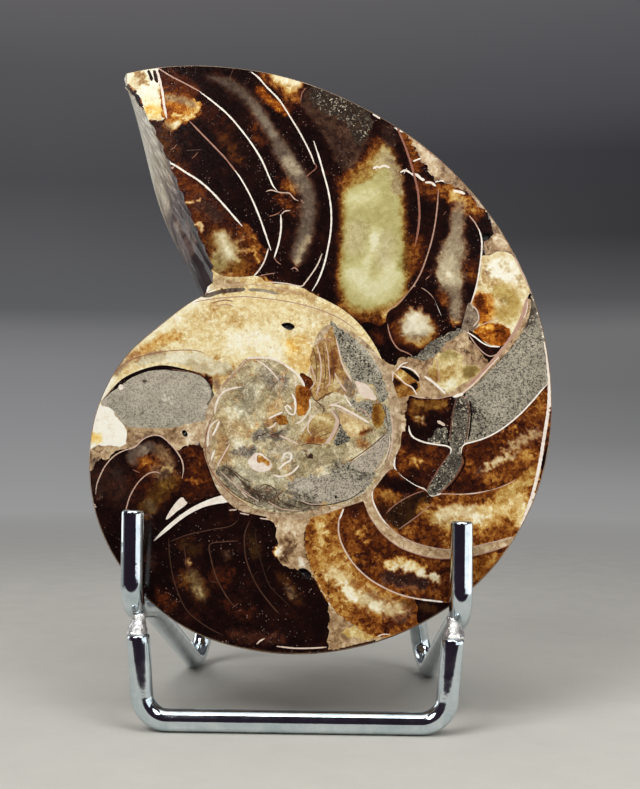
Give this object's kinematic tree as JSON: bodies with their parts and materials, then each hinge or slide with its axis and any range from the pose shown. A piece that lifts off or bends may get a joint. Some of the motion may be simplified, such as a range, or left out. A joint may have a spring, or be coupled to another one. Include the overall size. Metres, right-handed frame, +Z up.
{
  "type": "nautiloid fossil half",
  "caption": "Cut and polished half of a coiled chambered fossil shell, leaning face forward in a bent chrome wire display stand.",
  "frame": {"origin": "on the ground, under the middle of the straight run of the front foot wire", "axes": "+Z up; -Y towards the viewer, the way that the cut face looks; +X to the viewer's right"},
  "size_m": [0.0845, 0.0651, 0.1228],
  "materials": {
    "fossil": "polished cut face and polished shell back, rough broken end",
    "wire": "bright chrome plating on steel wire",
    "weld": "chrome plated over a lumpy weld"
  },
  "bodies": {
    "root": {"nautiloid_half": "fossil", "cradle_wire": "wire", "front_foot_wire": "wire", "weld_bead_left": "weld", "weld_bead_right": "weld"}
  },
  "joints": []
}
